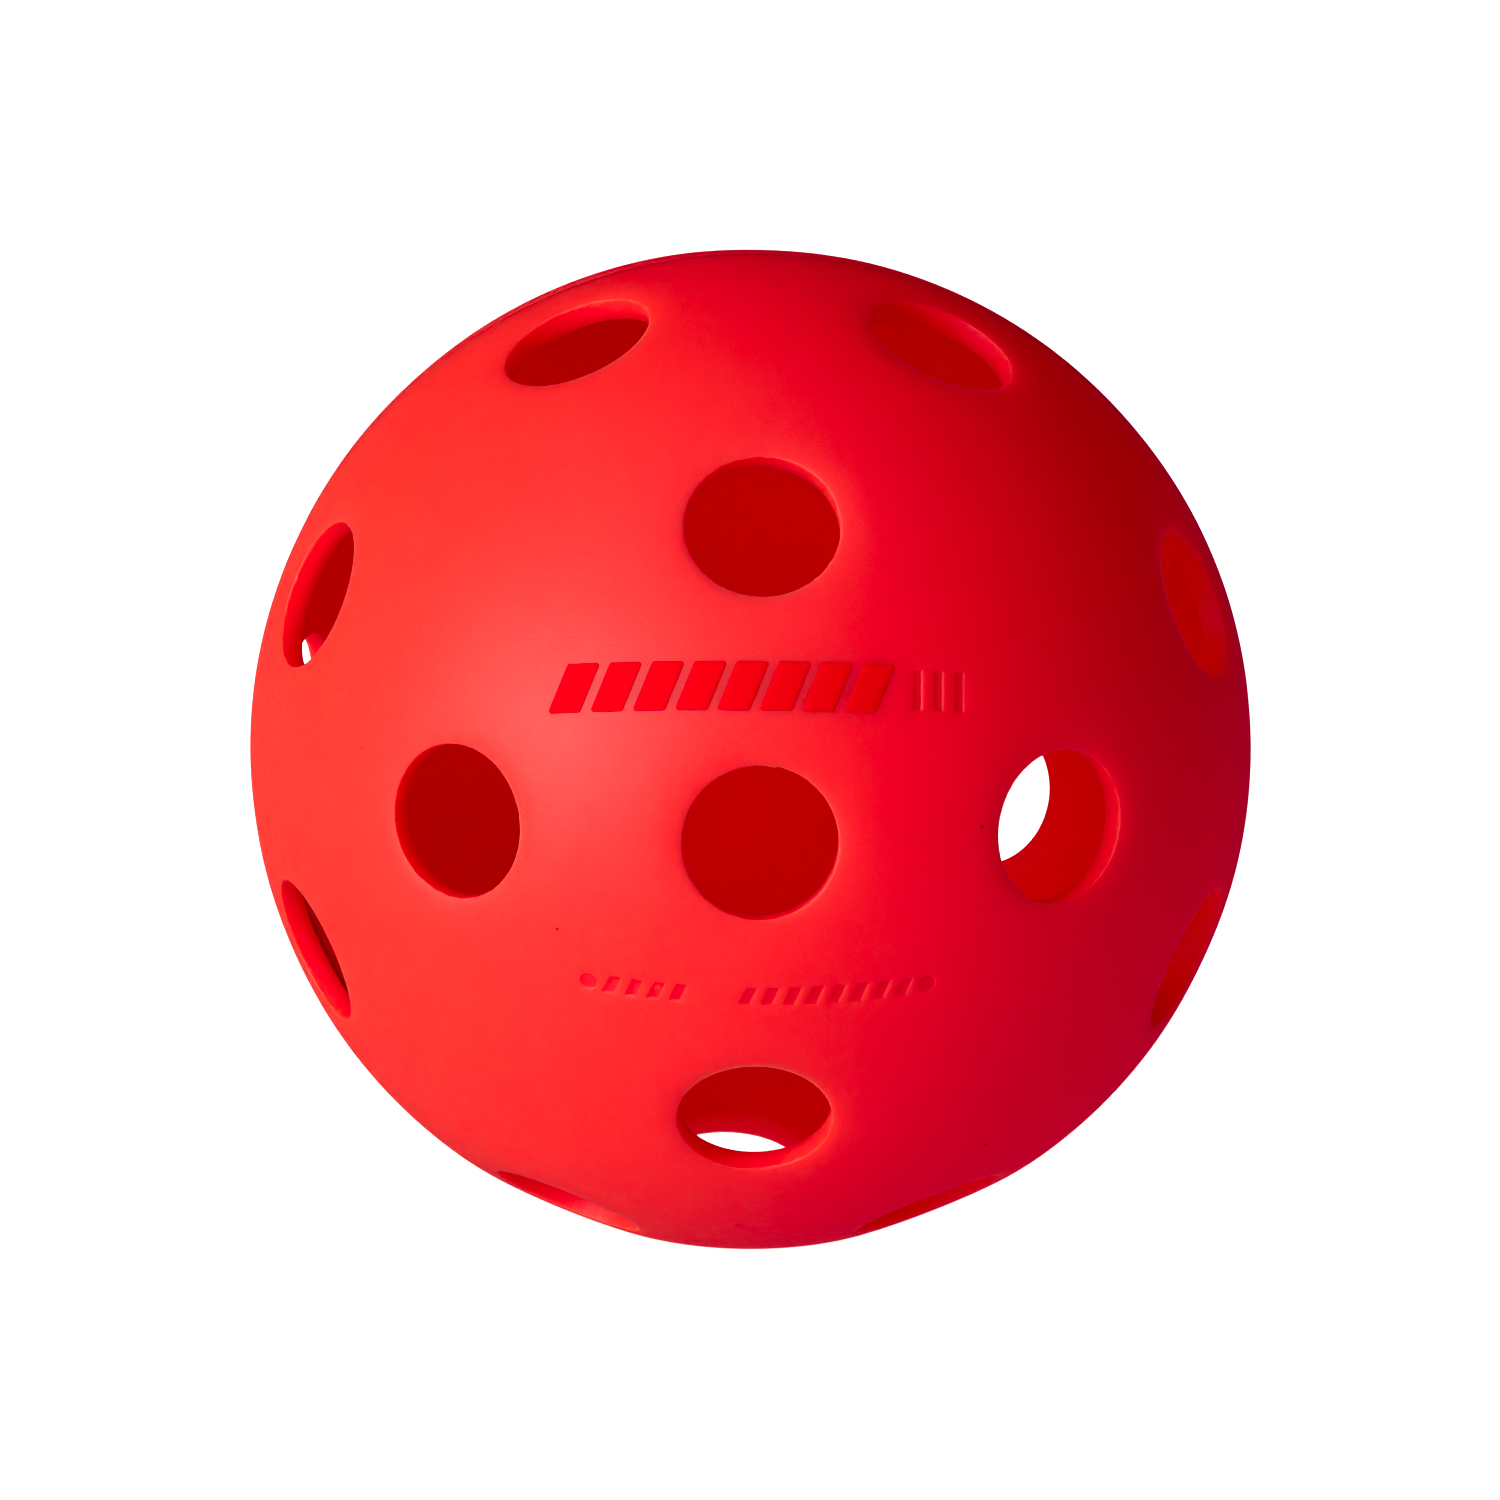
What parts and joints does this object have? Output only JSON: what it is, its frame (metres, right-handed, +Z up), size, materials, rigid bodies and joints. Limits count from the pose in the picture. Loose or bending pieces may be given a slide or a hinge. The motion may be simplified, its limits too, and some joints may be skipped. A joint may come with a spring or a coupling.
{
  "type": "pickleball ball",
  "caption": "Hollow perforated indoor pickleball ball: two round-lipped half shells joined by an equatorial weld, with a printed block mark.",
  "frame": {"origin": "centre of the ball", "axes": "+Z up as the marks read, -Y out through the front pole hole between the marks, +X to the right seen from the front; the weld lies in the XZ plane"},
  "size_m": [0.074, 0.073, 0.074],
  "materials": {
    "shell_plastic": "satin moulded, slightly translucent",
    "weld_plastic": "smooth set melt",
    "print_ink": "flat pad-printed ink"
  },
  "bodies": {
    "root": {"front_half_shell": "shell_plastic", "rear_half_shell": "shell_plastic", "weld_bead": "weld_plastic", "printed_mark": "print_ink"}
  },
  "joints": []
}
